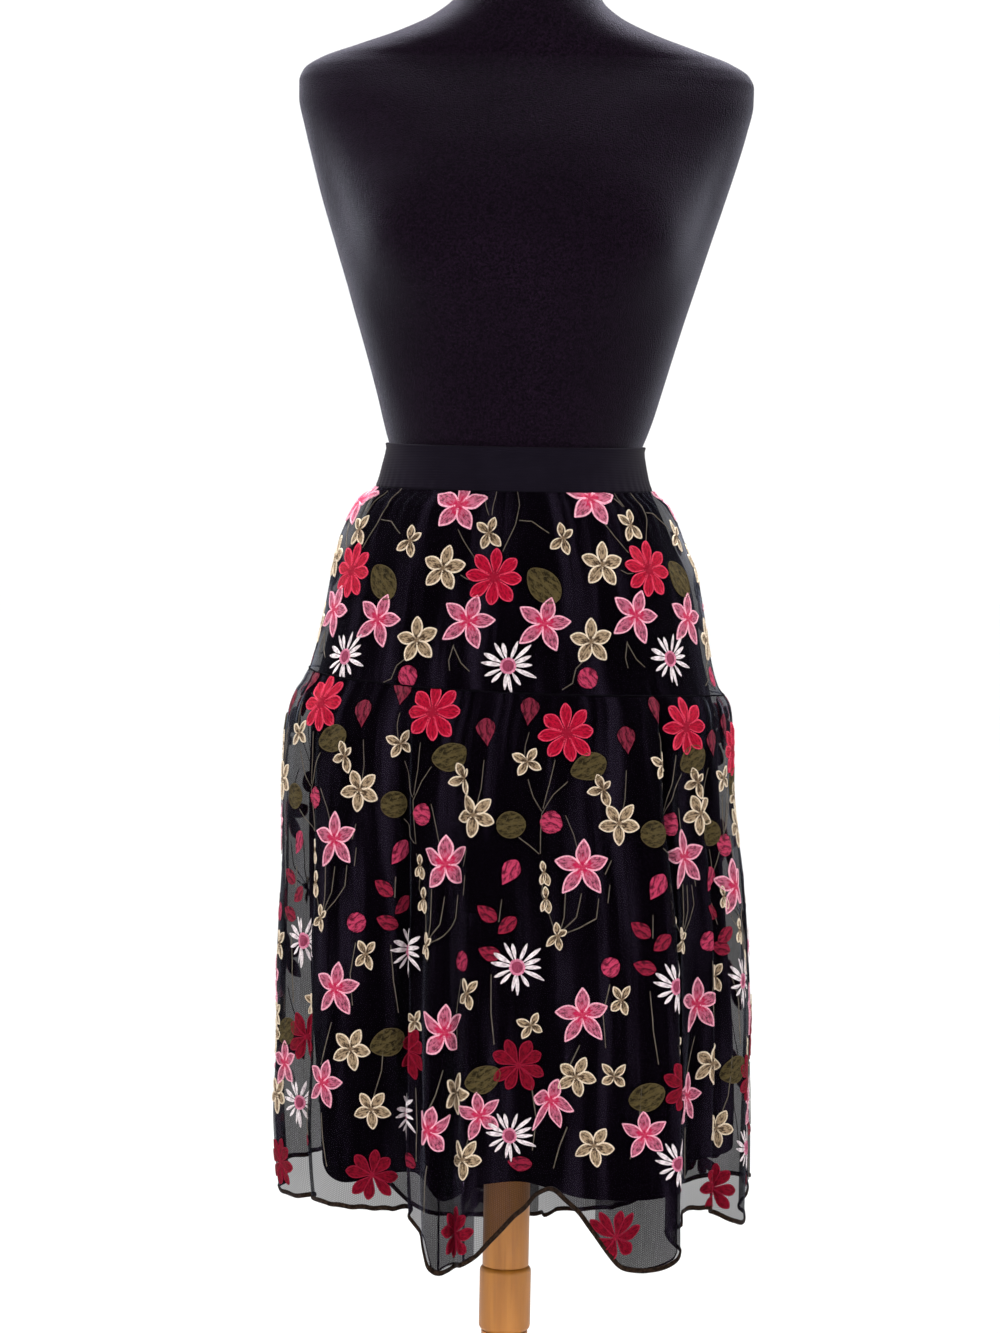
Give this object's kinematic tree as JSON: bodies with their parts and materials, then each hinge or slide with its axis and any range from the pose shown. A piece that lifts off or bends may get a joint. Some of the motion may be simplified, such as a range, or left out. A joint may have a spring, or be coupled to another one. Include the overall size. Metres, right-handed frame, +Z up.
{
  "type": "layered skirt on a limbless dress form with a wooden stand",
  "caption": "Gathered two-tier net midi skirt with elastic waistband over a shorter plain lining, worn by a limbless dress form on a turned pole and round base.",
  "frame": {"origin": "middle of the stand's underside, on the surface that it stands on", "axes": "+Z up, -Y is the skirt's front, +X the wearer's left"},
  "size_m": [0.4338, 0.4105, 1.506],
  "materials": {
    "elastic": "matt ribbed elastic",
    "net": "sheer fine net with flat embroidery",
    "lining": "plain opaque knit",
    "jersey": "matt brushed jersey",
    "maple": "pale turned wood, satin lacquer"
  },
  "bodies": {
    "root": {"waistband": "elastic", "yoke_front": "net", "yoke_back": "net", "tier_front": "net", "tier_back": "net", "lining_front": "lining", "lining_back": "lining", "form": "jersey", "pole": "maple", "hub": "maple", "post": "maple", "base": "maple"}
  },
  "joints": []
}
